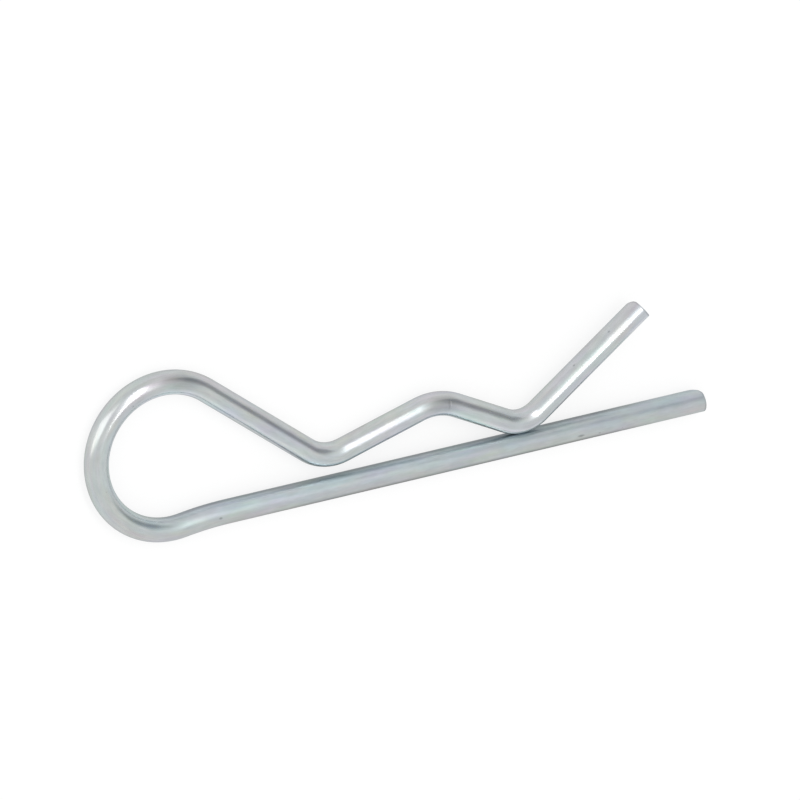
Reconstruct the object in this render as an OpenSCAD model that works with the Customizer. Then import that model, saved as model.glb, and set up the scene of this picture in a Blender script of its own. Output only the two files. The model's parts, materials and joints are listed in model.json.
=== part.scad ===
// R-clip (hairpin cotter) for a drilled hitch pin, bent from one length of round spring wire.
//
// The clip lies flat in the XY plane. Its straight leg runs along the X axis and goes through the
// pin's cross hole. The hitch pin's own axis is the Z axis, under the hump of the free arm, so the
// origin is the point where the leg's axis crosses the pin's axis. From the leg the wire turns
// round the spring loop, which dips a little below the leg, and comes back as the free arm: down
// to the neck, up over the hump, down to the catch, which touches the leg behind the pin, and up
// again to the tip.

/* [Wire] */
// Diameter of the wire
wire_d = 4; // [3:0.1:5]
// How much thinner the wire is drawn where it is bent
bend_thinning = 0.02; // [0.01:0.01:0.1]

/* [Hitch pin] */
// Diameter of the drilled hitch pin that the clip locks
pin_d = 16; // [14:0.5:20]
// Room between the pin and the hump of the arm
pin_clearance = 0.2; // [0:0.1:1]

/* [Spring loop] */
// Radius of the loop, at the middle of the wire
loop_r = 12.3; // [11:0.1:15]
// Angle at which the wire leaves the loop, down towards the leg
loop_exit = 39.7; // [36:0.1:45]
// Angle by which the loop is bent past the leg's line, so that it dips below the leg
over_bend = 7; // [0:0.5:12]
// Radius of the long bend that brings the wire back to the leg's line
set_r = 60; // [40:5:100]
// Straight wire between the loop and that long bend
set_run = 1; // [0.5:0.1:3]

/* [Free arm] */
// Gap between the arm and the leg at the neck
neck_gap = 1.6; // [1:0.1:3]
// Radius of the neck's bend, at the middle of the wire
neck_r = 6.9; // [5:0.1:9]
// Angle at which the arm climbs from the neck to the hump
climb = 16; // [14:1:20]
// Radius of the hump's bend, at the middle of the wire
hump_r = 9; // [7:0.1:11]
// Angle at which the arm falls from the hump to the catch
fall = 27.8; // [24:0.1:32]
// Radius of the catch's bend, at the middle of the wire
catch_r = 5.7; // [4:0.1:7]
// Gap that is left between the catch and the leg
catch_gap = 0.06; // [0.05:0.01:0.5]
// Angle at which the tip opens away from the leg
tip_rise = 35.5; // [30:0.5:40]
// Length of the straight tip
tip_length = 24.1; // [15:0.1:30]
// Angle by which the arm beyond the neck is rolled out of the clip's plane, so that it rides up
arm_roll = 2.1; // [0:0.1:4]

/* [Leg] */
// How far the straight leg reaches past the free arm's tip
leg_reach = 11; // [5:0.5:20]

/* [Cut ends] */
// How far the rolled-over edge of a sheared end reaches, over the cut face and along the wire
edge_roll = 1.2; // [0.6:0.1:1.8]
// Angle at which the roll meets the cut face and the wire's side
roll_angle = 12; // [5:1:20]
// Slant of the cut at the leg's end
leg_cut = 6; // [0:1:15]
// Slant of the cut at the tip's end
tip_cut = 1; // [0:1:15]

/* [Hidden] */
$fn = 64;
wire_r = wire_d / 2;

// How far a bend reaches into the straight wire at each of its ends
overlap = 0.1;

// Centre of the loop, from the point where the leg starts to be straight
loop_x = -(set_r + loop_r) * sin(over_bend) - set_run * cos(over_bend);
loop_y = loop_r * cos(over_bend) - set_r * (1 - cos(over_bend)) - set_run * sin(over_bend);

// Heights of the arm's centre line above the leg's centre line, where it runs level
neck_y = wire_d + neck_gap;
hump_y = pin_d / 2 + pin_clearance + wire_r;

// Straight runs between the bends, from the height that each has to make up
loop_to_neck = (loop_y + loop_r - neck_y - (loop_r + neck_r) * (1 - cos(loop_exit)))
    / sin(loop_exit);
neck_to_hump = (hump_y - neck_y - (neck_r + hump_r) * (1 - cos(climb))) / sin(climb);

// Places along the leg, from the same point
neck_x = loop_x + (loop_r + neck_r) * sin(loop_exit) + loop_to_neck * cos(loop_exit);
hump_x = neck_x + (neck_r + hump_r) * sin(climb) + neck_to_hump * cos(climb);

// The catch's centre line, if it lay straight above the leg
function fall_run(y) = (hump_y - y - (hump_r + catch_r) * (1 - cos(fall))) / sin(fall);
function catch_x(y) = hump_x + (hump_r + catch_r) * sin(fall) + fall_run(y) * cos(fall);

// The roll turns the arm about the straight run that leads to the neck, and lifts the catch by
// its distance from that run. The catch comes down beside the leg by as much as the lift allows.
function from_run(x, y) = (x - neck_x) * sin(loop_exit) + (y - neck_y) * cos(loop_exit)
    + neck_r * (1 - cos(loop_exit));
catch_lift = from_run(catch_x(wire_d), wire_d) * sin(arm_roll);
catch_y = sqrt(pow(wire_d + catch_gap, 2) - pow(catch_lift, 2));
hump_to_catch = fall_run(catch_y);
tip_x = catch_x(catch_y) + catch_r * sin(tip_rise) + tip_length * cos(tip_rise);
leg_length = tip_x + leg_reach;

// A straight run of wire along +Z. What follows it starts at its end.
module run(length) {
    cylinder(d = wire_d, h = length);
    translate([0, 0, length]) children();
}

// A bend towards -X. What follows it starts at its end, along the wire.
module bend(angle, radius) {
    tuck = overlap / radius * 180 / PI;
    translate([-radius, 0, 0]) {
        rotate([90, 0, 0])
            rotate_extrude(angle = angle + 2 * tuck, start = -tuck)
                translate([radius, 0]) circle(d = wire_d - bend_thinning);
        rotate([0, -angle, 0]) translate([radius, 0, 0]) children();
    }
}

// The same bend towards +X
module bend_back(angle, radius) {
    rotate([0, 0, 180]) bend(angle, radius) rotate([0, 0, 180]) children();
}

// What a shear takes off the end of a wire at the origin. The cut face starts from a sharp corner
// on the -X side and slants back. Towards the +X side the blade has rolled it over into an arc,
// which meets the face and the wire's side at the same small angle, roll_angle.
module shear_cut(slant) {
    arc_r = edge_roll * sin(45 + slant / 2) / sin(45 - slant / 2 - roll_angle);
    face_end_x = wire_r - edge_roll * cos(slant);
    face_end_z = edge_roll * sin(slant) - wire_d * tan(slant);
    side_end_z = -edge_roll - wire_d * tan(slant);
    reach = arc_r * sin(roll_angle);
    translate([-wire_r, 0, 0]) rotate([0, slant, 0])
        translate([-wire_r, -wire_d, 0]) cube([2 * wire_d, 2 * wire_d, wire_d]);
    difference() {
        translate([face_end_x - reach, -1.5 * wire_d, side_end_z - reach])
            cube([wire_d, 3 * wire_d, 2 * wire_d]);
        translate([face_end_x - arc_r * sin(slant + roll_angle), 0,
                   face_end_z - arc_r * cos(slant + roll_angle)])
            rotate([90, 0, 0]) cylinder(r = arc_r, h = 4 * wire_d, center = true);
    }
}

// The leg, along +Z from the loop, with its cut end
module leg() {
    difference() {
        cylinder(d = wire_d, h = leg_length + wire_r);
        translate([0, 0, leg_length]) shear_cut(leg_cut);
    }
}

// The tip, along +Z from the catch's bend, with its cut end
module tip() {
    difference() {
        cylinder(d = wire_d, h = tip_length + wire_r);
        translate([0, 0, tip_length]) shear_cut(tip_cut);
    }
}

// Neck, hump, catch and tip, from the end of the run that leads to the neck
module free_arm() {
    rotate([0, 0, arm_roll])
        bend_back(loop_exit + climb, neck_r)
        run(neck_to_hump)
        bend(climb + fall, hump_r)
        run(hump_to_catch)
        bend_back(fall + tip_rise, catch_r)
        tip();
}

// The spring loop, from the point where the leg starts to be straight, and the arm after it
module loop() {
    bend_back(over_bend, set_r)
        run(set_run)
        bend(over_bend + 180 + loop_exit, loop_r)
        run(loop_to_neck)
        free_arm();
}

// The whole clip, one bent wire
module clip() {
    color("silver")
        translate([-hump_x, 0, 0]) {
            rotate([0, 90, 0]) rotate([0, 0, 90]) leg();
            rotate([0, -90, 0]) rotate([0, 0, -90]) loop();
        }
}

clip();
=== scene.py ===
# %% [markdown]
# # A hitch-pin R-clip
# An R-clip is one length of round spring wire. A bending machine turns it round a loop and then
# gives the free arm its waves, so that the arm snaps over a hitch pin while the straight leg
# goes through the pin's cross hole. After bending it is zinc plated, which leaves it bright and
# slightly blue. This lesson bends the same wire in Geometry Nodes, plates it with a procedural
# metal and sets it on a pale floor in soft studio light.

# %% Load the frame
import json
from math import ceil, cos, pi, radians, sin, sqrt

import bpy
from mathutils import Matrix, Quaternion, Vector


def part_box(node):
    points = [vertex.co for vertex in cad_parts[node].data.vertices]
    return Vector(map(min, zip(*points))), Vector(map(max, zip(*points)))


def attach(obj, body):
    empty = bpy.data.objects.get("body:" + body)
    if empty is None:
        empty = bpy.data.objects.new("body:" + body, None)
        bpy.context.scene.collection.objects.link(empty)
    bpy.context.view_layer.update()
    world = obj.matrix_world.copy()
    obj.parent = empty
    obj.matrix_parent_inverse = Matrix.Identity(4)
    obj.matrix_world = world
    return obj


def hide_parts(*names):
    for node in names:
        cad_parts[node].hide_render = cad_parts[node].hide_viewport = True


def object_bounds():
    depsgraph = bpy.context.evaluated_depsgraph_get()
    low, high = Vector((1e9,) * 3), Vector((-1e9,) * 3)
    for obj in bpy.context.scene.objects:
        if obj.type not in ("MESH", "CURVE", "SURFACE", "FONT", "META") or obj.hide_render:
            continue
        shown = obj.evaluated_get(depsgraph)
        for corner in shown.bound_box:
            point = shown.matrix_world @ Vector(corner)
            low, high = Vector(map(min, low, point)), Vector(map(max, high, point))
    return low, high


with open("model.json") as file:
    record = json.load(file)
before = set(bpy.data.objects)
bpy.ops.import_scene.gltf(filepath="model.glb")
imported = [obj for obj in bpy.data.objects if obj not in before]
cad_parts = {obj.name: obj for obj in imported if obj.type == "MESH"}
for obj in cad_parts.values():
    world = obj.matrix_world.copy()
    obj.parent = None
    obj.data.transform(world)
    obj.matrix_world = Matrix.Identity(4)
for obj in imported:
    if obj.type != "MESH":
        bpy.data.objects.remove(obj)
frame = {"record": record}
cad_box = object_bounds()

MM = 0.001
X_AXIS, Y_AXIS, Z_AXIS = Vector((1, 0, 0)), Vector((0, 1, 0)), Vector((0, 0, 1))
print("frame box in mm:", [[round(v / MM, 2) for v in corner] for corner in cad_box])

# %% [markdown]
# ## Where the wire runs
# All of the clip's shape is in its bends. Its middle line could be a list of points, but a wire
# bender sets a radius and an angle for each bend, with straight runs between them, and this
# script does the same. The frame's record says how thick the wire is, where the loop is and how
# wide it is inside, so nothing that the frame knows is written twice. The lengths of the straight
# runs follow from the heights that the arm has to reach over the leg.

# %% Sizes from the frame
mounts = {mount["name"]: mount for mount in frame["record"]["mounts"]}
wire_r = mounts["leg"]["dims"]["r_mm"] * MM
wire_d = 2 * wire_r
loop_r = mounts["pull_loop"]["dims"]["r_mm"] * MM + wire_r
loop_centre = Vector(mounts["pull_loop"]["pos_m"])
leg_end = Vector((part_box("clip")[1].x, 0, 0))
print(f"wire {wire_d / MM:.1f} mm, loop {2 * loop_r / MM:.1f} mm across at the wire's middle")

# %% Settings of the bends
PIN_D, PIN_CLEARANCE = 16 * MM, 0.2 * MM  # the hitch pin, and the room for it under the hump
OVER_BEND, SET_R, SET_RUN = radians(7), 60 * MM, 1 * MM  # how the loop dips below the leg's line
LOOP_EXIT = radians(39.7)  # the slope of the wire from the loop down to the neck
NECK_GAP, NECK_R = 1.6 * MM, 6.9 * MM
CLIMB, HUMP_R, FALL = radians(16), 9 * MM, radians(27.8)
CATCH_R, CATCH_GAP = 5.7 * MM, 0.06 * MM
TIP_RISE, TIP_LENGTH = radians(35.5), 24.1 * MM
ARM_ROLL = radians(2.1)  # the arm is rolled in the grip by this much, so that it rides up
print("bend radii in mm:", [round(r / MM, 1) for r in (SET_R, loop_r, NECK_R, HUMP_R, CATCH_R)])

# %% Heights and straight runs
neck_y = wire_d + NECK_GAP
hump_y = PIN_D / 2 + PIN_CLEARANCE + wire_r


def run_between(rise, radii, angle):
    """Straight wire between two bends that climb by rise at this angle."""
    return (rise - radii * (1 - cos(angle))) / sin(angle)


leg_start_x = loop_centre.x + (SET_R + loop_r) * sin(OVER_BEND) + SET_RUN * cos(OVER_BEND)
loop_to_neck = run_between(loop_centre.y + loop_r - neck_y, loop_r + NECK_R, LOOP_EXIT)
neck_to_hump = run_between(hump_y - neck_y, NECK_R + HUMP_R, CLIMB)
neck_x = loop_centre.x + (loop_r + NECK_R) * sin(LOOP_EXIT) + loop_to_neck * cos(LOOP_EXIT)


def catch_lift():
    """How far the roll lifts the catch, by its distance from the straight run before the neck."""
    fall_run = run_between(hump_y - wire_d, HUMP_R + CATCH_R, FALL)
    catch_x = (HUMP_R + CATCH_R) * sin(FALL) + fall_run * cos(FALL)
    from_run = ((catch_x - neck_x) * sin(LOOP_EXIT) + (wire_d - neck_y) * cos(LOOP_EXIT)
                + NECK_R * (1 - cos(LOOP_EXIT)))
    return from_run * sin(ARM_ROLL)


catch_y = sqrt((wire_d + CATCH_GAP) ** 2 - catch_lift() ** 2)
hump_to_catch = run_between(hump_y - catch_y, HUMP_R + CATCH_R, FALL)
print("straight runs in mm:",
      [round(v / MM, 2) for v in (loop_to_neck, neck_to_hump, hump_to_catch)])

# %% [markdown]
# ## Bending the path
# The path could be drawn as a Bezier curve, but its arcs would only come close to the bender's
# true radii. So it is followed as the wire goes through the machine: a position, a heading and
# the direction on the wire's left. A run moves along the heading, a bend turns both round a
# centre on one side, and a roll turns the wire in its grip. It starts at the leg's cut end. Past
# each cut end goes spare path, as long as the wire's radius, for the sweep to fold over as the
# end's face.

# %% Follow the wire
RING_STEP = 0.4 * MM


def bend_wire(moves, start, heading, left):
    """Points along the wire's middle, a step apart, and the heading at its far end."""
    points, at = [start.copy()], start.copy()
    for kind, amount, radius in moves:
        if kind == "roll":
            left = Quaternion(heading, amount) @ left
            continue
        length = amount if kind == "run" else abs(amount) * radius
        steps = ceil(length / RING_STEP)
        if kind == "run":
            points += [at + heading * (length * (i + 1) / steps) for i in range(steps)]
        else:
            side = 1 if amount > 0 else -1
            centre = at + left * radius * side
            axis = heading.cross(left)
            turns = [Quaternion(axis, amount * (i + 1) / steps) for i in range(steps)]
            points += [centre + turn @ (at - centre) for turn in turns]
            heading, left = turns[-1] @ heading, turns[-1] @ left
        at = points[-1].copy()
    return points, heading


moves = [
    ("run", leg_end.x - leg_start_x, None),
    ("bend", OVER_BEND, SET_R),
    ("run", SET_RUN, None),
    ("bend", -(OVER_BEND + pi + LOOP_EXIT), loop_r),
    ("run", loop_to_neck, None),
    ("roll", ARM_ROLL, None),
    ("bend", LOOP_EXIT + CLIMB, NECK_R),
    ("run", neck_to_hump, None),
    ("bend", -(CLIMB + FALL), HUMP_R),
    ("run", hump_to_catch, None),
    ("bend", FALL + TIP_RISE, CATCH_R),
    ("run", TIP_LENGTH, None),
]
path, tip_heading = bend_wire(moves, leg_end, -X_AXIS, -Y_AXIS)
print("path points:", len(path), "tip ends at", [round(v / MM, 2) for v in path[-1]])

# %% The path as a curve object
SPARE_STEP = 0.1 * MM

spare_steps = round(wire_r / SPARE_STEP)
leg_spare = [path[0] + X_AXIS * SPARE_STEP * i for i in range(spare_steps, 0, -1)]
tip_spare = [path[-1] + tip_heading * SPARE_STEP * (i + 1) for i in range(spare_steps)]
path = leg_spare + path + tip_spare

curve = bpy.data.curves.new("wire_path", "CURVE")
curve.dimensions = "3D"
spline = curve.splines.new("POLY")
spline.points.add(len(path) - 1)
spline.points.foreach_set("co", [v for point in path for v in (*point, 1.0)])
wire_path = bpy.data.objects.new("wire_path", curve)
bpy.context.scene.collection.objects.link(wire_path)
print("curve points:", len(spline.points), "of which spare:", 2 * spare_steps)

# %% [markdown]
# ## Small helpers for node trees
# Geometry and shader trees are both made of nodes, sockets and links. They could be put together
# by hand in the editor, but a tree that a script builds is the same every time and can be read
# from top to bottom. These few lines add a node, set it up and feed it. An input that is given a
# socket is linked, and one that is given a value is set.

# %% Node helpers


def put(tree, kind, inputs=(), **settings):
    """Adds a node, sets it up, and feeds its inputs, each by name or number."""
    node = tree.nodes.new(kind)
    for name, value in settings.items():
        setattr(node, name, value)
    for key, value in dict(inputs).items():
        if isinstance(value, bpy.types.NodeSocket):
            tree.links.new(value, node.inputs[key])
        else:
            node.inputs[key].default_value = value
    return node


def calc(tree, operation, *values):
    """The output of one Math node."""
    return put(tree, "ShaderNodeMath", enumerate(values), operation=operation).outputs[0]


def vector_calc(tree, operation, *values):
    """The output of one Vector Math node; SCALE takes its factor second."""
    inputs = dict(enumerate(values))
    if operation == "SCALE":
        inputs = {0: values[0], "Scale": values[1]}
    return put(tree, "ShaderNodeVectorMath", inputs, operation=operation).outputs[0]


def smooth_ramp(tree, value, start, end):
    """0 where the value is at start, rising smoothly to 1 where it is at end."""
    return put(tree, "ShaderNodeMapRange", {"Value": value, "From Min": start, "From Max": end},
               interpolation_type="SMOOTHSTEP").outputs["Result"]


print("node helpers: put, calc, vector_calc, smooth_ramp")

# %% Group helper
FLOAT, VECTOR, COLOUR = "NodeSocketFloat", "NodeSocketVector", "NodeSocketColor"


def new_group(name, tree_type, inputs, outputs):
    """An empty node group, the sockets that it is given, and those that take its result.

    Each input comes with its type and its default, and each output with its type alone.
    """
    tree = bpy.data.node_groups.new(name, tree_type)
    for socket_name, (kind, default) in inputs.items():
        socket = tree.interface.new_socket(socket_name, in_out="INPUT", socket_type=kind)
        if default is not None:
            socket.default_value = default
    for socket_name, kind in outputs.items():
        tree.interface.new_socket(socket_name, in_out="OUTPUT", socket_type=kind)
    given = tree.nodes.new("NodeGroupInput").outputs
    result = tree.nodes.new("NodeGroupOutput").inputs
    return tree, given, result


print("group helper: new_group")

# %% [markdown]
# ## The shape of a sheared end
# The wire is cut off with a blade. It leaves a face that slants back a little from one sharp
# corner, and on the side where the blade came in it rolls the edge over into a soft round. A
# Boolean could cut that shape, but it leaves ragged triangles that shade badly. The group below
# gives how far the end lies behind its sharp corner, for a place across the wire: the slant of
# the face, and from where the roll starts a quarter of an ellipse on top of it. Both ends use
# the group, each with its own values.

# %% Sheared end group
sheared, given, result = new_group(
    "Sheared end", "GeometryNodeTree",
    {"Across": (FLOAT, 0.0), "Wire radius": (FLOAT, wire_r), "Slant": (FLOAT, radians(4)),
     "Roll width": (FLOAT, 1.2 * MM), "Roll length": (FLOAT, 1.5 * MM)},
    {"Depth": FLOAT})


def shear(operation, *values):
    """One Math node of the sheared end."""
    return calc(sheared, operation, *values)


from_corner = shear("ADD", given["Across"], given["Wire radius"])
flat_depth = shear("MULTIPLY", from_corner, shear("TANGENT", given["Slant"]))
from_side = shear("SUBTRACT", given["Wire radius"], given["Across"])
into_roll = shear("SUBTRACT", 1.0, shear("DIVIDE", from_side, given["Roll width"]))
into_roll = shear("MINIMUM", 1.0, shear("MAXIMUM", 0.0, into_roll))
ellipse = shear("SQRT", shear("SUBTRACT", 1.0, shear("MULTIPLY", into_roll, into_roll)))
roll_depth = shear("MULTIPLY", given["Roll length"], shear("SUBTRACT", 1.0, ellipse))
sheared.links.new(shear("ADD", flat_depth, roll_depth), result["Depth"])
print("sheared end: nodes", len(sheared.nodes))

# %% [markdown]
# ## Sweeping the wire
# The wire is a circle swept along its path. A curve's own Bevel setting would do that too, but
# with plain caps only. Curve to Mesh gives the tube, past each cut end the circle shrinks to
# nothing, and Set Position then slides those rings back along the wire onto the sheared face, so
# that the wire is one closed skin. The tree also stores where each point was on the straight
# wire before it was bent, for the finish to read, because the marks of the drawing die run along
# the wire and go round the bends with it.

# %% Wire sweep tree
BLADE_SIDE = radians(-28)  # at both ends the blade came in from +Y, a little from below
LEG_SLANT, LEG_ROLL_WIDTH, LEG_ROLL_LENGTH = radians(5), 1.35 * MM, 2.0 * MM
TIP_SLANT, TIP_ROLL_WIDTH, TIP_ROLL_LENGTH = radians(2), 0.95 * MM, 1.4 * MM
WIRE_SIDES = 64
END_BLEND = 4 * MM  # over this much of the wire the rings lean over to the slant of the cut
WAVINESS, WAVE_LENGTH = 0.01 * MM, 5 * MM

sweep, given, result = new_group(
    "Wire along a path", "GeometryNodeTree",
    {"Path": ("NodeSocketGeometry", None), "Wire radius": (FLOAT, wire_r),
     "Sides": ("NodeSocketInt", WIRE_SIDES), "End blend": (FLOAT, END_BLEND),
     "Blade side": (FLOAT, BLADE_SIDE), "Leg slant": (FLOAT, LEG_SLANT),
     "Leg roll width": (FLOAT, LEG_ROLL_WIDTH), "Leg roll length": (FLOAT, LEG_ROLL_LENGTH),
     "Tip slant": (FLOAT, TIP_SLANT), "Tip roll width": (FLOAT, TIP_ROLL_WIDTH),
     "Tip roll length": (FLOAT, TIP_ROLL_LENGTH),
     "Waviness": (FLOAT, WAVINESS), "Wave length": (FLOAT, WAVE_LENGTH),
     "Finish": ("NodeSocketMaterial", None)},
    {"Wire": "NodeSocketGeometry"})
print("wire sweep: inputs", ", ".join(socket.name for socket in given if socket.name))

# %% Distances along the wire


def swept(operation, *values):
    """One Math node of the sweep."""
    return calc(sweep, operation, *values)


def past(distance):
    """How far a ring lies past a cut end, from its distance inside that end."""
    return swept("MAXIMUM", 0.0, swept("MULTIPLY", distance, -1.0))


def near_end(distance):
    """1 at a cut end and past it, falling to 0 where the blend ends."""
    share = swept("SUBTRACT", 1.0, swept("DIVIDE", distance, given["End blend"]))
    return swept("MINIMUM", 1.0, swept("MAXIMUM", 0.0, share))


spline_length = put(sweep, "GeometryNodeSplineLength").outputs["Length"]
whole_length = swept("SUBTRACT", spline_length, swept("MULTIPLY", given["Wire radius"], 2.0))
path_place = put(sweep, "GeometryNodeSplineParameter").outputs["Length"]
along = swept("SUBTRACT", path_place, given["Wire radius"])
to_tip = swept("SUBTRACT", whole_length, along)
past_leg, past_tip = past(along), past(to_tip)
past_end = swept("ADD", past_leg, past_tip)
ring_r = swept("SQRT", swept("MAXIMUM", 0.0, swept(
    "SUBTRACT", swept("MULTIPLY", given["Wire radius"], given["Wire radius"]),
    swept("MULTIPLY", past_end, past_end))))
print("wire sweep: nodes so far", len(sweep.nodes))

# %% Values kept for each ring


def capture(geometry, name, field, kind="FLOAT"):
    """Keeps a field's values on this geometry, to be read after the geometry has changed."""
    node = put(sweep, "GeometryNodeCaptureAttribute", {"Geometry": geometry})
    node.capture_items.new(kind, name)
    sweep.links.new(field, node.inputs[name])
    return node.outputs["Geometry"], node.outputs[name]


upright = put(sweep, "GeometryNodeSetCurveNormal", {"Curve": given["Path"]}, mode="Z_UP")
heading = put(sweep, "GeometryNodeInputTangent").outputs["Tangent"]
rail, kept_heading = capture(upright.outputs["Curve"], "Heading", heading, "VECTOR")
fields = {"Along": along, "Ring radius": ring_r, "Past leg": past_leg, "Past tip": past_tip,
          "Near leg": near_end(along), "Near tip": near_end(to_tip),
          "From cut": swept("MINIMUM", along, to_tip)}
kept = {}
for name, field in fields.items():
    rail, kept[name] = capture(rail, name, field)
print("kept for each ring: Heading,", ", ".join(kept))

# %% Sweep the circle
circle = put(sweep, "GeometryNodeCurvePrimitiveCircle",
             {"Resolution": given["Sides"], "Radius": 1.0})
position = put(sweep, "GeometryNodeInputPosition").outputs["Position"]
section, around = capture(circle.outputs["Curve"], "Around", position, "VECTOR")
tube = put(sweep, "GeometryNodeCurveToMesh",
           {"Curve": rail, "Profile Curve": section, "Scale": kept["Ring radius"],
            "Fill Caps": False})

# The section's own X and Y come out rightward and downward on the wire, so both are turned round.
across = put(sweep, "ShaderNodeSeparateXYZ", {0: vector_calc(sweep, "SCALE", around, -1.0)})
leftward = swept("MULTIPLY", across.outputs["X"], kept["Ring radius"])
upward = swept("MULTIPLY", across.outputs["Y"], kept["Ring radius"])
print("wire sweep: nodes so far", len(sweep.nodes))

# %% Slide the end rings onto the cut faces
WELD_DISTANCE = 0.001 * MM

to_blade_up = swept("MULTIPLY", upward, swept("SINE", given["Blade side"]))
to_blade_left = swept("MULTIPLY", leftward, swept("COSINE", given["Blade side"]))


def end_depth(towards_blade, end):
    """How far this end lies behind its sharp corner, fading out along the wire."""
    depth = put(sweep, "GeometryNodeGroup",
                {"Across": towards_blade, "Wire radius": given["Wire radius"],
                 "Slant": given[end + " slant"], "Roll width": given[end + " roll width"],
                 "Roll length": given[end + " roll length"]}, node_tree=sheared)
    return swept("MULTIPLY", kept["Near " + end.lower()], depth.outputs["Depth"])


leg_depth = end_depth(swept("SUBTRACT", to_blade_up, to_blade_left), "Leg")
tip_depth = end_depth(swept("ADD", to_blade_up, to_blade_left), "Tip")
slide = swept("SUBTRACT", swept("ADD", kept["Past leg"], leg_depth),
              swept("ADD", kept["Past tip"], tip_depth))
slid = put(sweep, "GeometryNodeSetPosition",
           {"Geometry": tube.outputs["Mesh"],
            "Offset": vector_calc(sweep, "SCALE", kept_heading, slide)})
closed = put(sweep, "GeometryNodeMergeByDistance",
             {"Geometry": slid.outputs["Geometry"], "Distance": WELD_DISTANCE})
print("wire sweep: nodes so far", len(sweep.nodes))

# %% Store each point's place on the straight wire


def store(geometry, name, value, kind):
    """Stores a field on the points, as an attribute that the finish can read."""
    return put(sweep, "GeometryNodeStoreNamedAttribute",
               {"Geometry": geometry, "Name": name, "Value": value},
               data_type=kind, domain="POINT").outputs["Geometry"]


straight_place = put(sweep, "ShaderNodeCombineXYZ", {
    "X": leftward, "Y": upward, "Z": swept("ADD", kept["Along"], slide)}).outputs["Vector"]
skin = store(closed.outputs["Geometry"], "straight_wire", straight_place, "FLOAT_VECTOR")
skin = store(skin, "from_cut", kept["From cut"], "FLOAT")
print("stored on the points: straight_wire, from_cut")

# %% [markdown]
# ## Waviness and shading
# Drawn wire is never perfectly round, and bending leaves it a trace uneven, so the lights that it
# mirrors waver a little. Bump in the material could do that, but a slow wave in the mesh moves
# the outline too, and it lasts in every export. The skin is then shaded smooth, apart from the
# rims of the cut faces, which the blade left sharp.

# %% Wave, smooth and finish
WAVE_DETAIL = 2.0
NOISE_MIDDLE = 0.5  # noise runs from 0 to 1 and swings round this
SHARP_ANGLE = radians(35)

wave = put(sweep, "ShaderNodeTexNoise",
           {"Vector": straight_place, "Detail": WAVE_DETAIL,
            "Scale": swept("DIVIDE", 1.0, given["Wave length"])})
lift = swept("MULTIPLY", swept("SUBTRACT", wave.outputs["Fac"], NOISE_MIDDLE),
             swept("MULTIPLY", given["Waviness"], 2.0))
normal = put(sweep, "GeometryNodeInputNormal").outputs["Normal"]
waved = put(sweep, "GeometryNodeSetPosition",
            {"Geometry": skin, "Offset": vector_calc(sweep, "SCALE", normal, lift)})
smooth = put(sweep, "GeometryNodeSetShadeSmooth", {"Geometry": waved.outputs["Geometry"]})
edge_angle = put(sweep, "GeometryNodeInputMeshEdgeAngle").outputs["Unsigned Angle"]
sharp = put(sweep, "GeometryNodeSetShadeSmooth",
            {"Geometry": smooth.outputs["Geometry"],
             "Selection": swept("GREATER_THAN", edge_angle, SHARP_ANGLE),
             "Shade Smooth": False}, domain="EDGE")
real = put(sweep, "GeometryNodeRealizeInstances", {"Geometry": sharp.outputs["Geometry"]})
finished = put(sweep, "GeometryNodeSetMaterial",
               {"Geometry": real.outputs["Geometry"], "Material": given["Finish"]})
sweep.links.new(finished.outputs["Geometry"], result["Wire"])
print("wire sweep: nodes", len(sweep.nodes))

# %% [markdown]
# ## Bright zinc plate
# The plating bath leaves a skin of bright zinc a few thousandths of a millimetre thick, and a
# clear passivation seals it. Up close it shows faint grain that runs along the wire where the
# drawing die scored it, soft mottling and patches where the passivation is a trace blue, green,
# pink or yellow, tiny pits, and small nicks from bending and handling. A painted texture would
# need a seam and a fixed size, so noise and distance make all of it. Each effect is a node group
# of its own, so that another plated part can take it over with other values. They read the
# stored place on the straight wire, so they follow the bends and have no seam.

# %% Drawn grain group
GRAIN_DETAIL = 3.0

grain, given, result = new_group(
    "Drawn grain", "ShaderNodeTree",
    {"Place": (VECTOR, None), "Length": (FLOAT, 6 * MM), "Width": (FLOAT, 0.2 * MM)},
    {"Value": FLOAT, "Tints": COLOUR})
per_width = calc(grain, "DIVIDE", 1.0, given["Width"])
per_length = calc(grain, "DIVIDE", 1.0, given["Length"])
stretch = put(grain, "ShaderNodeCombineXYZ", {0: per_width, 1: per_width, 2: per_length})
scaled = vector_calc(grain, "MULTIPLY", given["Place"], stretch.outputs["Vector"])
lines = put(grain, "ShaderNodeTexNoise",
            {"Vector": scaled, "Scale": 1.0, "Detail": GRAIN_DETAIL})
grain.links.new(lines.outputs["Fac"], result["Value"])
grain.links.new(lines.outputs["Color"], result["Tints"])
print("drawn grain: nodes", len(grain.nodes))

# %% Tool mark group
MARK_CORE = 0.2  # a mark is full over this share of its reach, and fades out from there

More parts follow.
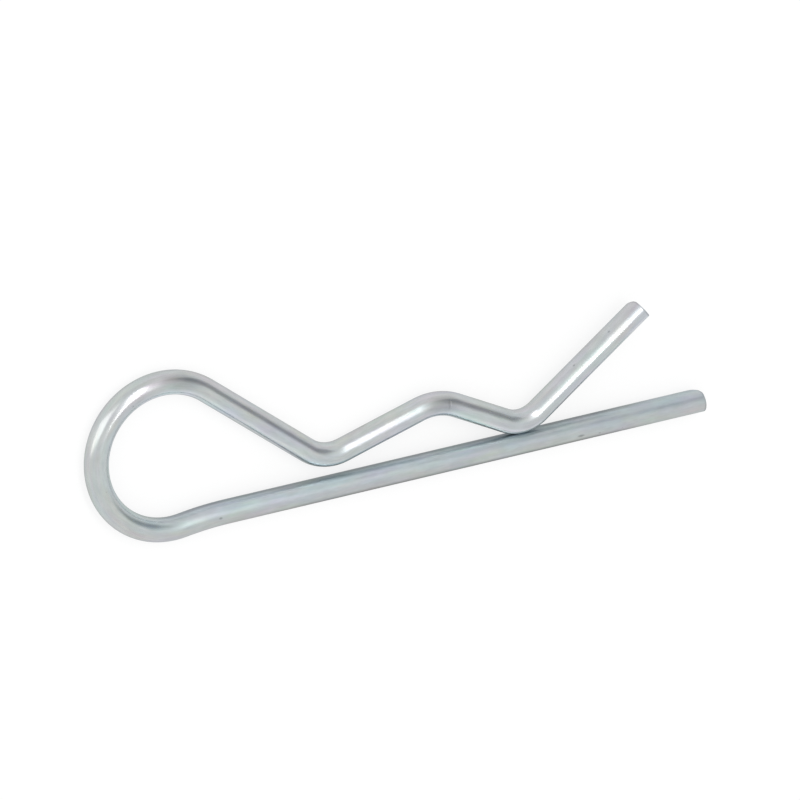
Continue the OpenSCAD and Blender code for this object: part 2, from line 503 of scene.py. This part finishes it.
mark, given, result = new_group(
    "Tool mark", "ShaderNodeTree",
    {"Place": (VECTOR, None), "Wire radius": (FLOAT, wire_r), "Along": (FLOAT, 0.0),
     "Angle": (FLOAT, 0.0), "Length": (FLOAT, 0.4 * MM), "Width": (FLOAT, 0.2 * MM)},
    {"Mask": FLOAT})
centre_x = calc(mark, "MULTIPLY", given["Wire radius"], calc(mark, "COSINE", given["Angle"]))
centre_y = calc(mark, "MULTIPLY", given["Wire radius"], calc(mark, "SINE", given["Angle"]))
centre = put(mark, "ShaderNodeCombineXYZ", {0: centre_x, 1: centre_y, 2: given["Along"]})
per_width = calc(mark, "DIVIDE", 1.0, given["Width"])
per_length = calc(mark, "DIVIDE", 1.0, given["Length"])
shrink = put(mark, "ShaderNodeCombineXYZ", {0: per_width, 1: per_width, 2: per_length})
from_centre = vector_calc(mark, "MULTIPLY", shrink.outputs["Vector"],
                          vector_calc(mark, "SUBTRACT", given["Place"], centre.outputs["Vector"]))
reach = put(mark, "ShaderNodeVectorMath", {0: from_centre}, operation="LENGTH").outputs["Value"]
mark.links.new(smooth_ramp(mark, reach, 1.0, MARK_CORE), result["Mask"])
print("tool mark: nodes", len(mark.nodes))

# %% Pits group
pits, given, result = new_group(
    "Pits", "ShaderNodeTree",
    {"Place": (VECTOR, None), "Spacing": (FLOAT, 2.5 * MM), "Size": (FLOAT, 0.1 * MM)},
    {"Mask": FLOAT})
cells = put(pits, "ShaderNodeTexVoronoi",
            {"Vector": given["Place"], "Scale": calc(pits, "DIVIDE", 1.0, given["Spacing"])})
size_share = calc(pits, "DIVIDE", given["Size"], given["Spacing"])
pits.links.new(smooth_ramp(pits, cells.outputs["Distance"], size_share, 0.0), result["Mask"])
print("pits: nodes", len(pits.nodes))

# %% [markdown]
# ## Placing the groups
# The same grain group is placed four times: as the die's fine lines, as longer streaks, as short
# mottling and as wide patches of tint. Nicks sit where the tools held the wire, and two darker
# spots at the loop's end and on the hump are painted reflection of the dark card.
# They could be painted on by hand, but given as a distance along the wire and an angle round it
# they stay in their place when a bend is changed.

# %% Grain and pits
GRAINS_MM = {  # how long each kind is along the wire, and how wide across it
    "fine": (1.6, 0.28),
    "streaks": (4, 0.6),
    "mottling": (2.6, 1.1),
    "patches": (7, 2.2),
}
PIT_SPACING, PIT_SIZE = 3.2 * MM, 0.16 * MM

zinc = bpy.data.materials.new("bright_zinc_plate")
zinc.use_nodes = True
plate = zinc.node_tree
place = put(plate, "ShaderNodeAttribute", attribute_name="straight_wire").outputs["Vector"]
grains = {}
for name, (length_mm, width_mm) in GRAINS_MM.items():
    grains[name] = put(plate, "ShaderNodeGroup",
                       {"Place": place, "Length": length_mm * MM, "Width": width_mm * MM},
                       node_tree=grain).outputs
pitted = put(plate, "ShaderNodeGroup", {"Place": place, "Spacing": PIT_SPACING, "Size": PIT_SIZE},
             node_tree=pits).outputs["Mask"]
print("grain, length and width in mm:", GRAINS_MM)

# %% Nicks and press marks
NICKS = [  # mm along the wire, degrees up from its left, length and width in mm, share of depth
    (23.5, 72, 0.9, 0.35, 1.0),
    (20.0, 63, 0.35, 0.25, 0.6),
    (89.0, 86, 0.45, 0.3, 1.0),
    (129.0, 105, 0.25, 0.2, 0.8),
    (191.5, 85, 0.35, 1.2, 0.45),
    (219.0, 29, 0.3, 0.25, 1.0),
    (227.0, 34, 0.35, 0.25, 1.0),
]
# Painted dark reflection: these two spots darken the colour where the dark card is mirrored more
# sharply at the bends.
PAINTED_DARK_REFLECTIONS = [  # the same without a share of depth, at the loop's end and on the hump
    (138.3, 72, 4.8, 2.0),
    (190.3, 80, 4.4, 2.0),
]


def mark_at(along_mm, angle_deg, length_mm, width_mm):
    """The mask of one mark on the wire's skin."""
    return put(plate, "ShaderNodeGroup",
               {"Place": place, "Along": along_mm * MM, "Angle": radians(angle_deg),
                "Length": length_mm * MM, "Width": width_mm * MM}, node_tree=mark).outputs["Mask"]


def strongest(masks):
    """The strongest of these masks at each point."""
    total = 0.0
    for mask in masks:
        total = calc(plate, "MAXIMUM", total, mask)
    return total


nicked = strongest(calc(plate, "MULTIPLY", mark_at(*spot), depth) for *spot, depth in NICKS)
# Painted dark reflection at the loop's end and on the hump.
painted_dark_reflection = strongest(mark_at(*spot) for spot in PAINTED_DARK_REFLECTIONS)
dark_marks = calc(plate, "MAXIMUM", nicked, pitted)
print("nicks:", len(NICKS), "painted dark reflections at two bends:", len(PAINTED_DARK_REFLECTIONS))

# %% [markdown]
# ## Regions of the wire
# The finish isn't the same all over. The arm is brighter than the leg. The leg's two flanks are
# darkened with painted shade, standing in for the contact shadow on the floor and the arm that
# they would mirror, and its middle is lightened with painted light. The arm's inner side just
# beside its top is lightened with painted light against the leg mirrored there. A material for
# each region would leave hard borders, so masks with soft borders mark them instead. They are
# made from the place on the straight wire: how far outward and upward a point lies, as a share of
# the wire's radius, and how far along it is.

# %% Arm, leg and cut faces
ARM_STARTS = (86 * MM, 112 * MM)  # in each pair, where the mask is 0 and where it is full
CUT_EDGE = (0.4 * MM, 0.0)

split = put(plate, "ShaderNodeSeparateXYZ", {0: place})
outward = calc(plate, "DIVIDE", split.outputs["X"], wire_r)
height = calc(plate, "DIVIDE", split.outputs["Y"], wire_r)
along_wire = split.outputs["Z"]
cut_distance = put(plate, "ShaderNodeAttribute", attribute_name="from_cut").outputs["Fac"]

on_arm = smooth_ramp(plate, along_wire, *ARM_STARTS)
cut_face = smooth_ramp(plate, cut_distance, *CUT_EDGE)
on_leg, off_cut = (calc(plate, "SUBTRACT", 1.0, mask) for mask in (on_arm, cut_face))
outer_half = calc(plate, "GREATER_THAN", outward, 0.0)
inner_half = calc(plate, "LESS_THAN", outward, 0.0)
print("the leg's finish turns to the arm's in mm:", [round(v / MM) for v in ARM_STARTS])

# %% Helpers for masks


def product(*factors):
    """All of these values multiplied together."""
    total = factors[0]
    for factor in factors[1:]:
        total = calc(plate, "MULTIPLY", total, factor)
    return total


def between(value, *limits):
    """The mask inside all of these limits on one value."""
    return product(*(smooth_ramp(plate, value, *pair) for pair in limits))


print("mask helpers: product, between")

# %% Painted shade on the flanks, painted light on the middle and inside
FLANKS_START = (5 * MM, 21 * MM)
OUTER_TOP, OUTER_FOOT, OUTER_END = (0.92, 0.6), (0.15, 0.45), (96 * MM, 64 * MM)
INNER_TOP = (0.5, 0.1)
MIDDLE_START, MIDDLE_END, MIDDLE_SIDE = (28 * MM, 60 * MM), (100 * MM, 86 * MM), (-0.15, -0.45)
INSIDE_LIGHT_TOP, INSIDE_LIGHT_FOOT, INSIDE_LIGHT_START = (0.96, 0.8), (0.4, 0.65), (118 * MM, 136 * MM)

flanks = product(between(along_wire, FLANKS_START), on_leg, off_cut)
# Painted shade: the leg is darkened on its outer side, where it would mirror the contact shadow
# on the floor.
outer_flank_painted_shade = product(between(height, OUTER_TOP, OUTER_FOOT), between(along_wire, OUTER_END),
                      outer_half, flanks)
# Painted shade: the leg is darkened on its inner side from halfway down, where it would mirror
# the arm and the shadow between them.
inner_flank_painted_shade = product(between(height, INNER_TOP), inner_half, flanks)
# Painted light: the leg's inner side, partway along, is lightened against the dark card mirrored
# there.
painted_light_middle = product(between(along_wire, MIDDLE_START, MIDDLE_END),
                        between(outward, MIDDLE_SIDE))
# Painted light: the arm's inner side just beside its top is lightened against the leg mirrored in
# it.
painted_light_inside = product(between(height, INSIDE_LIGHT_TOP, INSIDE_LIGHT_FOOT), between(along_wire, INSIDE_LIGHT_START),
                   inner_half, off_cut)
print("zinc: nodes so far", len(plate.nodes))

# %% [markdown]
# ## Colour of the plate
# Zinc is a pale grey metal. On a metal the Base Color is the colour of its reflections, so a
# grey well below white already looks bright. The passivation tints it: a trace bluer on the
# clip's inner side, a trace warmer on its outer side, with patches of every tint between. One
# flat colour would look like paint, so the grey, the two sides and the patches are multiplied,
# and a shade for each region and each kind of mark then darkens or lightens the result.

# %% Colours and tints
LEG_ZINC, ARM_ZINC = (0.55, 0.58, 0.59), (0.59, 0.622, 0.635)
LEG_COOL, ARM_COOL = (0.95, 1.0, 1.035), (0.985, 1.0, 1.012)
WARM_SIDE = (1.008, 1.0, 0.988)
WARM_FROM = (-0.5, 0.5)
PATCH_TINT, STREAK_TINT = 0.1, 0.055
NOISE_GREY, WHITE = (NOISE_MIDDLE,) * 3, (1.0,) * 3
MIX_FIRST, MIX_SECOND, MIX_RESULT = 6, 7, 2  # the Mix node's colour sockets, among all its kinds


def mix_colours(share, first, second):
    """The first colour where share is 0, the second where it is 1."""
    first, second = (value if isinstance(value, bpy.types.NodeSocket) else (*value, 1.0)
                     for value in (first, second))
    return put(plate, "ShaderNodeMix", {0: share, MIX_FIRST: first, MIX_SECOND: second},
               data_type="RGBA").outputs[MIX_RESULT]


def tint_swing(name, strength):
    """The tints of one grain, turned to swing round black by this much either way."""
    from_grey = vector_calc(plate, "SUBTRACT", grains[name]["Tints"], NOISE_GREY)
    return vector_calc(plate, "SCALE", from_grey, 2 * strength)


grey = mix_colours(on_arm, LEG_ZINC, ARM_ZINC)
cool_side = mix_colours(on_arm, LEG_COOL, ARM_COOL)
side_tint = mix_colours(between(outward, WARM_FROM), cool_side, WARM_SIDE)
tints = vector_calc(plate, "ADD", tint_swing("patches", PATCH_TINT),
                    tint_swing("streaks", STREAK_TINT))
tints = vector_calc(plate, "MULTIPLY", side_tint, vector_calc(plate, "ADD", tints, WHITE))
tinted = vector_calc(plate, "MULTIPLY", tints, grey)
print("zinc grey of the leg and of the arm:", LEG_ZINC, ARM_ZINC)

# %% Shades


def swing(name, strength):
    """The value of one grain, turned to swing round zero by this much either way."""
    from_middle = calc(plate, "SUBTRACT", grains[name]["Value"], NOISE_MIDDLE)
    return calc(plate, "MULTIPLY", from_middle, 2 * strength)


def changed(mask, change):
    """A factor that is 1 where the mask is 0, and 1 + change where it is full."""
    return calc(plate, "ADD", 1.0, calc(plate, "MULTIPLY", mask, change))


# Among these, the shades on the leg's two sides are painted shade, those on the leg's middle and
# the arm's inner side are painted light, and the two darker spots at the bends are painted dark
# reflection.
SHADES = {  # each mask, and how much lighter or darker the metal is where it is full
    # Nicks and pits are made darker.
    "darker nicks and pits": (dark_marks, -0.35),
    "painted dark reflections at two bends": (painted_dark_reflection, -0.26),
    "bare steel of the cut faces": (cut_face, -0.25),
    "painted shade on the outer flank": (outer_flank_painted_shade, -0.55),
    "painted shade on the inner flank": (inner_flank_painted_shade, -0.46),
    "painted light on the leg's middle": (painted_light_middle, 0.1),
    "painted light on the arm's inside": (painted_light_inside, 0.24),
    "fine grain": (swing("fine", 0.1), 1.0),
    "mottling": (swing("mottling", 0.1), 1.0),
}
shade = product(*(changed(mask, change) for mask, change in SHADES.values()))
colour = vector_calc(plate, "SCALE", tinted, shade)
print("shades:", ", ".join(SHADES))

# %% [markdown]
# ## Roughness, bump and metal
# The roughness says how sharp the mirrored lights are. The arm is polished a little better than
# the leg, and nicks, pits and bare steel are duller. The drawn lines are far too fine to model,
# so a Bump node raises them by about a hundredth of a millimetre and presses pits and nicks in.
# The Principled shader takes all of it as a full metal. Its Specular Tint holds back the white
# that a metal shows towards its rim.

# %% Roughness and height
LEG_ROUGH, ARM_ROUGH = 0.33, 0.25
ROUGHER = {  # each value, and how much it adds to the roughness
    "streaks": (swing("streaks", 0.06), 1.0),
    "nicks and pits": (dark_marks, 0.2),
    "cut faces": (cut_face, 0.3),
}
HEIGHTS_MM = {  # each value, and how high in mm it stands where it is full
    "fine grain": (grains["fine"]["Value"], 0.005),
    "streaks": (grains["streaks"]["Value"], 0.014),
    "nicks and pits": (dark_marks, -0.03),
}


def weighted_sum(first, terms):
    """The first value, and each other value times its weight, added up."""
    total = first
    for value, weight in terms.values():
        total = calc(plate, "ADD", total, calc(plate, "MULTIPLY", value, weight))
    return total


base_rough = put(plate, "ShaderNodeMix", {"Factor": on_arm, "A": LEG_ROUGH, "B": ARM_ROUGH})
roughness = weighted_sum(base_rough.outputs["Result"], ROUGHER)
bump = put(plate, "ShaderNodeBump",
           {"Height": weighted_sum(0.0, HEIGHTS_MM), "Distance": 1 * MM, "Strength": 1.0})
print("roughness of the leg and of the arm:", LEG_ROUGH, ARM_ROUGH)

# %% Metal
RIM_TINT = (0.75, 0.76, 0.76, 1.0)

shader = plate.nodes["Principled BSDF"]
plate.links.new(colour, shader.inputs["Base Color"])
plate.links.new(roughness, shader.inputs["Roughness"])
plate.links.new(bump.outputs["Normal"], shader.inputs["Normal"])
shader.inputs["Metallic"].default_value = 1.0
shader.inputs["Specular Tint"].default_value = RIM_TINT
print("zinc: nodes", len(plate.nodes))

# %% [markdown]
# ## Making the wire
# The tree could stay live as a modifier on the curve, but other programs read only a plain mesh.
# So it runs once, with the zinc as its finish, new_from_object takes the result, and the path
# goes. The wire then rides on the clip's only body and stands in for the frame's plain solid.

# %% Make the wire
modifier = wire_path.modifiers.new("sweep", "NODES")
modifier.node_group = sweep
identifiers = {item.name: item.identifier for item in sweep.interface.items_tree
               if item.in_out == "INPUT"}
modifier[identifiers["Finish"]] = zinc
evaluated = wire_path.evaluated_get(bpy.context.evaluated_depsgraph_get())
mesh = bpy.data.meshes.new_from_object(evaluated)
wire_path.modifiers.remove(modifier)
bpy.data.objects.remove(wire_path)
wire = bpy.data.objects.new("bent_wire", mesh)
bpy.context.scene.collection.objects.link(wire)
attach(wire, "root")
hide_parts("clip")
print("wire mesh:", len(mesh.vertices), "points,", len(mesh.polygons), "faces, materials",
      [m.name for m in mesh.materials])

# %% [markdown]
# ## The floor
# The clip lies on a sheet of white paper. More light would make the paper come out white, but it
# would bleach the metal too. So a camera ray sees the paper glow a little, with only a soft
# shadow under the wire. The metal mirrors the same pale sheet, with a deeper shadow close to the
# wire. All other rays meet plain white paper, so the floor adds no more light to the object than
# real paper would.

# %% Floor
FLOOR_SIZE = 8.0

half = FLOOR_SIZE / 2
floor_z = cad_box[0].z
floor_mesh = bpy.data.meshes.new("floor")
floor_mesh.from_pydata([(-half, -half, floor_z), (half, -half, floor_z), (half, half, floor_z),
                        (-half, half, floor_z)], [], [(0, 1, 2, 3)])
floor = bpy.data.objects.new("floor", floor_mesh)
bpy.context.scene.collection.objects.link(floor)
print("floor at", round(floor_z / MM, 2), "mm")

# %% Helpers for plain surfaces


def bare_tree(owner):
    """Turns a material's or a world's nodes on, takes away its first ones, and gives its tree."""
    owner.use_nodes = True
    owner.node_tree.nodes.clear()
    return owner.node_tree


def dull(tree, colour):
    """A plain dull surface of this colour."""
    return put(tree, "ShaderNodeBsdfDiffuse", {"Color": (*colour, 1)}).outputs["BSDF"]


def glowing_paper(tree, grey, glow):
    """Paper of this grey that also glows by itself."""
    light = put(tree, "ShaderNodeEmission", {"Color": (1, 1, 1, 1), "Strength": glow})
    return put(tree, "ShaderNodeAddShader",
               {0: dull(tree, (grey,) * 3), 1: light.outputs["Emission"]}).outputs["Shader"]


def either(tree, share, first, second):
    """The first surface where share is 0, the second where it is 1."""
    return put(tree, "ShaderNodeMixShader", {0: share, 1: first, 2: second}).outputs["Shader"]


print("surface helpers: bare_tree, dull, glowing_paper, either")

# %% White paper
PLAIN_GREY = 0.8
MIRRORED_GREY, MIRRORED_GLOW = 0.3, 0.61
SEEN_GREY, SEEN_GLOW = 0.25, 0.77

paper = bpy.data.materials.new("white_paper")
tree = bare_tree(paper)
rays = put(tree, "ShaderNodeLightPath").outputs
surface = either(tree, rays["Is Glossy Ray"], dull(tree, (PLAIN_GREY,) * 3),
                 glowing_paper(tree, MIRRORED_GREY, MIRRORED_GLOW))
surface = either(tree, rays["Is Camera Ray"], surface,
                 glowing_paper(tree, SEEN_GREY, SEEN_GLOW))
put(tree, "ShaderNodeOutputMaterial", {"Surface": surface})
floor_mesh.materials.append(paper)
print("paper: nodes", len(tree.nodes))

# %% [markdown]
# ## Studio light
# Bright metal shows what stands round it, so the light is set by what the wire should mirror. An
# environment image could do that, but a few plain lamps are easier to place and to change. A
# plain white surround gives the even pale grey. One long strip light high up draws the crisp
# white lines on the tip, the arm and the loop, and a small light low down beside the loop adds
# the softer one next to it.

# %% World
SURROUND_LEVEL, SEEN_LEVEL = 0.85, 1.0  # what lights the object, and what the camera sees

world = bpy.data.worlds.new("studio")
bpy.context.scene.world = world
tree = bare_tree(world)
rays = put(tree, "ShaderNodeLightPath").outputs
strength = put(tree, "ShaderNodeMix", {"Factor": rays["Is Camera Ray"],
                                       "A": SURROUND_LEVEL, "B": SEEN_LEVEL})
back = put(tree, "ShaderNodeBackground", {"Color": (1, 1, 1, 1),
                                          "Strength": strength.outputs["Result"]})
put(tree, "ShaderNodeOutputWorld", {"Surface": back.outputs["Background"]})
print("world:", world.name, "at", SURROUND_LEVEL)

# %% Aim at the clip
CLIP_MIDDLE = Vector((-5, 10, 0)) * MM


def direction(azimuth, polar):
    """A direction from the object, with the azimuth from +X towards +Y and the angle from up."""
    return Vector((sin(polar) * cos(azimuth), sin(polar) * sin(azimuth), cos(polar)))


def aim(obj, towards, distance, turn):
    """Puts an object out along a direction from the clip's middle, facing back to it."""
    obj.location = CLIP_MIDDLE + towards * distance
    obj.rotation_mode = "QUATERNION"
    right = Z_AXIS.cross(towards).normalized()
    up = towards.cross(right)
    facing = Matrix((right, up, towards)).transposed().to_quaternion()
    obj.rotation_quaternion = facing @ Quaternion(Z_AXIS, turn)
    print(obj.name, "at", [round(v, 3) for v in obj.location], "m")


print("everything is aimed at", [round(v / MM) for v in CLIP_MIDDLE], "mm")

# %% Lamps


def softbox(name, azimuth, polar, distance, turn, size, radiance):
    """A rectangular lamp of this brightness, which the camera itself doesn't see."""
    lamp = bpy.data.lights.new(name, "AREA")
    lamp.shape = "RECTANGLE"
    lamp.size, lamp.size_y = size
    # A lamp's watts go out over its whole area, in every direction that it faces.
    lamp.energy = radiance * pi * size[0] * size[1]
    obj = bpy.data.objects.new(name, lamp)
    bpy.context.scene.collection.objects.link(obj)
    aim(obj, direction(azimuth, polar), distance, turn)
    obj.visible_camera = False


softbox("strip_light", azimuth=radians(86), polar=radians(20.3), distance=0.95,
        turn=radians(18), size=(0.08, 0.9), radiance=7.0)
softbox("fill_light", azimuth=radians(157), polar=radians(72), distance=0.22,
        turn=radians(22), size=(0.112, 0.2), radiance=0.72)

# %% [markdown]
# ## The dark card
# In an all-white room bright metal looks flat. A studio hangs up a dark card, and the soft dark
# lines that the metal mirrors from it make the wire look round. One dark side of the world would
# do that too, but it would dim the light on everything. The card is a broad sheet of thin felt
# with soft edges, and only the metal mirrors it: it casts no shadow on the object or the floor.

# %% Felt
FELT_COLOUR = (0.0, 0.02, 0.07)


def soft_edge(tree, coordinate, half_size, soft):
    """1 inside the card, falling to 0 at this edge."""
    from_middle = calc(tree, "ABSOLUTE", coordinate)
    return smooth_ramp(tree, from_middle, half_size, half_size - soft)


def felt(name, half_size, soft, cover):
    """Dark felt that hides this share of what is behind it, and nothing at its edges."""
    material = bpy.data.materials.new(name)
    tree = bare_tree(material)
    card_place = put(tree, "ShaderNodeTexCoord").outputs["Object"]
    sides = put(tree, "ShaderNodeSeparateXYZ", {0: card_place}).outputs
    edges = calc(tree, "MULTIPLY", soft_edge(tree, sides["X"], half_size[0], soft[0]),
                 soft_edge(tree, sides["Y"], half_size[1], soft[1]))
    clear = put(tree, "ShaderNodeBsdfTransparent").outputs["BSDF"]
    surface = either(tree, calc(tree, "MULTIPLY", edges, cover), clear, dull(tree, FELT_COLOUR))
    put(tree, "ShaderNodeOutputMaterial", {"Surface": surface})
    return material


print("felt colour:", FELT_COLOUR)

# %% Dark card


def dark_card(name, azimuth, polar, distance, turn, half_size, soft, cover):
    """A felt card that only the metal mirrors."""
    mesh = bpy.data.meshes.new(name)
    corners = [(-1, -1), (1, -1), (1, 1), (-1, 1)]
    mesh.from_pydata([(x * half_size[0], y * half_size[1], 0) for x, y in corners],
                     [], [(0, 1, 2, 3)])
    mesh.materials.append(felt(name + "_felt", half_size, soft, cover))
    card = bpy.data.objects.new(name, mesh)
    bpy.context.scene.collection.objects.link(card)
    aim(card, direction(azimuth, polar), distance, turn)
    card.visible_camera = card.visible_diffuse = card.visible_shadow = False


dark_card("dark_card", azimuth=radians(23), polar=radians(51), distance=0.9,
          turn=radians(-14), half_size=(0.53, 0.44), soft=(0.32, 0.38), cover=0.64)

# %% [markdown]
# ## Camera
# A short lens close by would make the near end of the clip look larger than the far end. A long
# lens from about a metre and a quarter away shows it almost without perspective. It looks down
# on the clip from beyond the loop, and it is rolled so that the leg rises to the right.

# %% Camera
LOOK_AT = Vector((-5.458, 11.977, 0)) * MM
VIEW_DISTANCE = 1242.87 * MM
VIEW_AZIMUTH, VIEW_ELEVATION, VIEW_ROLL = radians(140.461), radians(58.848), radians(120.927)
SENSOR_WIDTH_MM, LENS_MM = 36.0, 344.94
NEAREST, FARTHEST = 0.05, 20

camera_data = bpy.data.cameras.new("camera")
camera_data.sensor_width = SENSOR_WIDTH_MM
camera_data.lens = LENS_MM
camera_data.clip_start, camera_data.clip_end = NEAREST, FARTHEST
camera = bpy.data.objects.new("camera", camera_data)
bpy.context.scene.collection.objects.link(camera)
back = direction(VIEW_AZIMUTH, pi / 2 - VIEW_ELEVATION)
camera.location = LOOK_AT + back * VIEW_DISTANCE
camera.rotation_mode = "QUATERNION"
camera.rotation_quaternion = (-back).to_track_quat("-Z", "Y") @ Quaternion(Z_AXIS, VIEW_ROLL)
bpy.context.scene.camera = camera
bpy.context.view_layer.update()
print("camera right, up, back:",
      [[round(v, 4) for v in camera.matrix_world.col[i].xyz] for i in range(3)])

# %% [markdown]
# ## Colours at the end
# A filmic view would grey the white floor, so the plain Standard view shows each colour about as
# it was written.

# %% Colour
bpy.context.scene.view_settings.view_transform = "Standard"
print("view:", bpy.context.scene.view_settings.view_transform)
